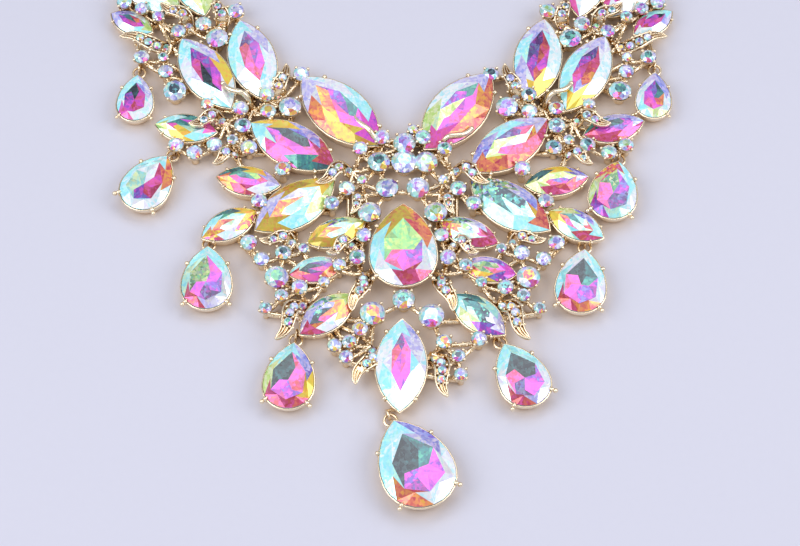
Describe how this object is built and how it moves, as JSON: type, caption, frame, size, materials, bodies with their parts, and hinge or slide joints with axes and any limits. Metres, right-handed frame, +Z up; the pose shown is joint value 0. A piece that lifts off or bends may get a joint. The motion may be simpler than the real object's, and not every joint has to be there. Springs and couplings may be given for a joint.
{
  "type": "bib necklace",
  "caption": "Wide bib necklace of pointed-oval and pear faceted crystals in a cast gold-tone setting, with pear drops on jump rings and a cable chain with a plain clasp.",
  "frame": {"origin": "on the table, at the middle of the back of the centre pear stone's setting", "axes": "+Z up out of the stones' tables, +Y towards the neckline and clasp, +X to the viewer's right"},
  "size_m": [0.1598, 0.2488, 0.0092],
  "materials": {
    "crystal": "faceted foil-backed glass with a rainbow coating",
    "gold_metal": "polished pale gold plating"
  },
  "bodies": {
    "root": {"right_neckline_navette_stone": "crystal", "left_neckline_navette_stone": "crystal", "right_shoulder_navette_stone": "crystal", "left_shoulder_navette_stone": "crystal", "right_arm_inner_navette_stone": "crystal", "left_arm_inner_navette_stone": "crystal", "right_arm_outer_navette_stone": "crystal", "left_arm_outer_navette_stone": "crystal", "right_wing_navette_stone": "crystal", "left_wing_navette_stone": "crystal", "right_upper_fan_navette_stone": "crystal", "left_upper_fan_navette_stone": "crystal", "right_outer_fan_navette_stone": "crystal", "left_outer_fan_navette_stone": "crystal", "right_middle_fan_navette_stone": "crystal", "left_middle_fan_navette_stone": "crystal", "right_inner_fan_navette_stone": "crystal", "left_inner_fan_navette_stone": "crystal", "right_lower_fan_navette_stone": "crystal", "left_lower_fan_navette_stone": "crystal", "right_skirt_navette_stone": "crystal", "left_skirt_navette_stone": "crystal", "centre_pear_stone": "crystal", "keel_navette_stone": "crystal", "left_arm_drop_stone": "crystal", "left_arm_drop_setting": "gold_metal", "left_arm_drop_jump_ring": "gold_metal", "right_arm_drop_stone": "crystal", "right_arm_drop_setting": "gold_metal", "right_arm_drop_jump_ring": "gold_metal", "left_wing_drop_stone": "crystal", "left_wing_drop_setting": "gold_metal", "left_wing_drop_jump_ring": "gold_metal", "right_wing_drop_stone": "crystal", "right_wing_drop_setting": "gold_metal", "right_wing_drop_jump_ring": "gold_metal", "left_fan_drop_stone": "crystal", "left_fan_drop_setting": "gold_metal", "left_fan_drop_jump_ring": "gold_metal", "right_fan_drop_stone": "crystal", "right_fan_drop_setting": "gold_metal", "right_fan_drop_jump_ring": "gold_metal", "left_skirt_drop_stone": "crystal", "left_skirt_drop_setting": "gold_metal", "left_skirt_drop_jump_ring": "gold_metal", "right_skirt_drop_stone": "crystal", "right_skirt_drop_setting": "gold_metal", "right_skirt_drop_jump_ring": "gold_metal", "main_drop_stone": "crystal", "main_drop_setting": "gold_metal", "main_drop_jump_ring": "gold_metal", "bib_casting": "gold_metal", "right_chain": "gold_metal", "left_chain": "gold_metal", "clasp": "gold_metal"}
  },
  "joints": []
}
